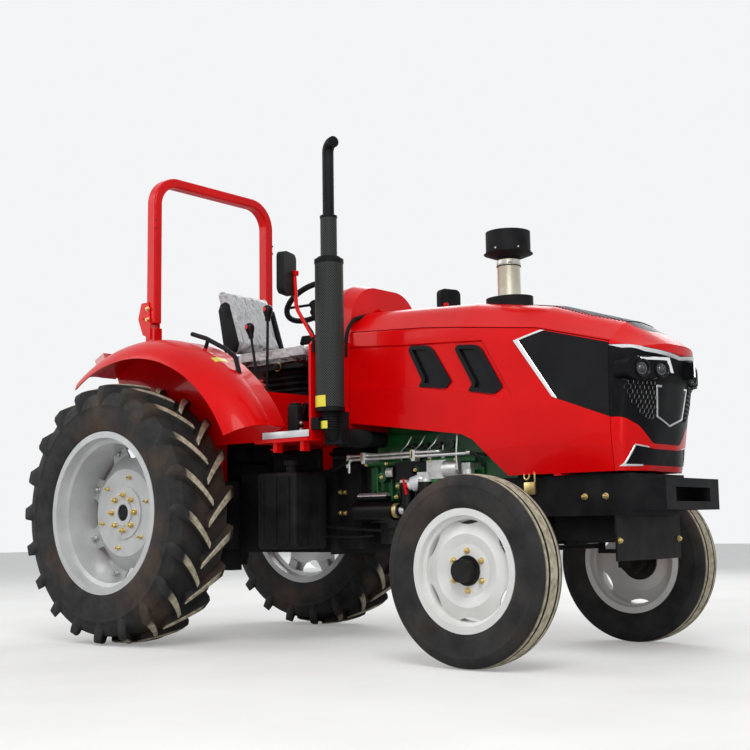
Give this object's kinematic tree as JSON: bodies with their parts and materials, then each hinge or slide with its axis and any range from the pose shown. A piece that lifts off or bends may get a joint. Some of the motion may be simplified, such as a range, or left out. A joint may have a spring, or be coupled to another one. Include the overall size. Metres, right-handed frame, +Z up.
{
  "type": "farm tractor",
  "caption": "Open platform farm tractor with rear drive wheels, ribbed steered front wheels, tilting bonnet, folding roll bar, exhaust stack and three point hitch.",
  "frame": {"origin": "middle of the whole length and width, on the ground", "axes": "+X to the nose, +Y to the tractor's left, +Z up"},
  "size_m": [4.0179, 2.023, 2.841],
  "materials": {
    "red_paint": "gloss",
    "black_paint": "semi-gloss",
    "green_paint": "satin",
    "rim_silver": "satin",
    "rim_white": "satin",
    "tyre_rubber": "matt",
    "gloss_black": "gloss",
    "matt_black": "matt",
    "lamp_lens": "gloss",
    "tail_lens": "gloss",
    "bare_steel": "brushed",
    "seat_cover": "matt",
    "zinc_yellow": "zinc"
  },
  "bodies": {
    "chassis": {"battery_box": "matt_black", "bonnet_side_panels": "red_paint", "dash_fairing": "red_paint", "drawbar": "black_paint", "engine": "green_paint", "engine_fittings": "bare_steel", "exhaust_stack": "black_paint", "fender_left": "red_paint", "fender_right": "red_paint", "front_axle_beam": "black_paint", "front_bumper": "black_paint", "front_frame": "black_paint", "fuel_tank": "matt_black", "gearbox_housing": "black_paint", "hand_levers": "matt_black", "handrails": "black_paint", "mirrors": "matt_black", "pedals": "matt_black", "platform": "red_paint", "radiator": "black_paint", "radiator_guard": "black_paint", "rear_axle_housing": "black_paint", "rear_lamps": "tail_lens", "rops_posts": "red_paint", "seat_backrest": "seat_cover", "seat_base": "matt_black", "seat_cushion": "seat_cover", "side_grilles": "gloss_black", "steering_column": "matt_black"},
    "rear_wheel_right": {"rear_tyre_right": "tyre_rubber", "rear_rim_right": "rim_silver"},
    "rear_wheel_left": {"rear_tyre_left": "tyre_rubber", "rear_rim_left": "rim_silver"},
    "front_wheel_right": {"front_tyre_right": "tyre_rubber", "front_rim_right": "rim_white", "front_hub_right": "black_paint"},
    "front_wheel_left": {"front_tyre_left": "tyre_rubber", "front_rim_left": "rim_white", "front_hub_left": "black_paint"},
    "steering_knuckle_right": {"knuckle_right": "black_paint"},
    "steering_knuckle_left": {"knuckle_left": "black_paint"},
    "track_rod": {"tie_rod": "black_paint"},
    "hand_wheel": {"steering_wheel": "matt_black"},
    "bonnet": {"bonnet_lid": "red_paint", "nose_grilles": "gloss_black", "headlamps": "lamp_lens", "air_precleaner": "matt_black"},
    "roll_bar": {"rops_hoop": "red_paint"},
    "lower_link_pair": {"lower_links": "black_paint"},
    "lift_arm_pair": {"lift_arms": "black_paint"},
    "lift_rod_pair": {"lift_rods": "black_paint"},
    "upper_link": {"top_link": "black_paint"},
    "power_take_off": {"pto_shaft": "bare_steel"}
  },
  "joints": [
    {"name": "rear_wheel_right_roll", "type": "hinge", "parent": "chassis", "child": "rear_wheel_right", "pos_m": [-1.119, -0.8235, 0.739], "axis": [0, 1, 0], "continuous": true},
    {"name": "rear_wheel_left_roll", "type": "hinge", "parent": "chassis", "child": "rear_wheel_left", "pos_m": [-1.119, 0.8235, 0.739], "axis": [0, 1, 0], "continuous": true},
    {"name": "steer_right", "type": "hinge", "parent": "chassis", "child": "steering_knuckle_right", "pos_m": [1.287, -0.637, 0.436], "axis": [0, 0, 1], "range_deg": [-38, 38]},
    {"name": "steer_left", "type": "hinge", "parent": "chassis", "child": "steering_knuckle_left", "pos_m": [1.287, 0.637, 0.436], "axis": [0, 0, 1], "range_deg": [-38, 38]},
    {"name": "front_wheel_right_roll", "type": "hinge", "parent": "steering_knuckle_right", "child": "front_wheel_right", "pos_m": [1.287, -0.7675, 0.436], "axis": [0, 1, 0], "continuous": true},
    {"name": "front_wheel_left_roll", "type": "hinge", "parent": "steering_knuckle_left", "child": "front_wheel_left", "pos_m": [1.287, 0.7675, 0.436], "axis": [0, 1, 0], "continuous": true},
    {"name": "track_rod_swing", "type": "hinge", "parent": "steering_knuckle_right", "child": "track_rod", "pos_m": [1.147, -0.637, 0.518], "axis": [0, 0, 1], "range_deg": [-38, 38]},
    {"name": "hand_wheel_turn", "type": "hinge", "parent": "chassis", "child": "hand_wheel", "pos_m": [-0.399, 0, 1.985], "axis": [-0.5736, 0, 0.8192], "range_deg": [-608, 608]},
    {"name": "bonnet_open", "type": "hinge", "parent": "chassis", "child": "bonnet", "pos_m": [0.181, 0, 1.851], "axis": [0, -1, 0], "range_deg": [0, 50]},
    {"name": "roll_bar_fold", "type": "hinge", "parent": "chassis", "child": "roll_bar", "pos_m": [-1.347, 0, 1.934], "axis": [0, -1, 0], "range_deg": [0, 100]},
    {"name": "lower_links_raise", "type": "hinge", "parent": "chassis", "child": "lower_link_pair", "pos_m": [-1.269, 0, 0.47], "axis": [0, 1, 0], "range_deg": [-14, 30]},
    {"name": "lift_arms_raise", "type": "hinge", "parent": "chassis", "child": "lift_arm_pair", "pos_m": [-1.309, 0, 0.985], "axis": [0, 1, 0], "range_deg": [-14, 30]},
    {"name": "lift_rods_swing", "type": "hinge", "parent": "lift_arm_pair", "child": "lift_rod_pair", "pos_m": [-1.6356, 0, 1.0264], "axis": [0, 1, 0], "range_deg": [-30, 14]},
    {"name": "upper_link_swing", "type": "hinge", "parent": "chassis", "child": "upper_link", "pos_m": [-1.419, 0, 0.86], "axis": [0, 1, 0], "range_deg": [-25, 45]},
    {"name": "power_take_off_spin", "type": "hinge", "parent": "chassis", "child": "power_take_off", "pos_m": [-1.389, 0, 0.64], "axis": [1, 0, 0], "continuous": true}
  ],
  "couplings": [
    {"joint": "steer_left", "follows": "steer_right", "ratio": 1},
    {"joint": "track_rod_swing", "follows": "steer_right", "ratio": -1},
    {"joint": "hand_wheel_turn", "follows": "steer_right", "ratio": 16},
    {"joint": "lift_arms_raise", "follows": "lower_links_raise", "ratio": 1},
    {"joint": "lift_rods_swing", "follows": "lower_links_raise", "ratio": -1}
  ]
}
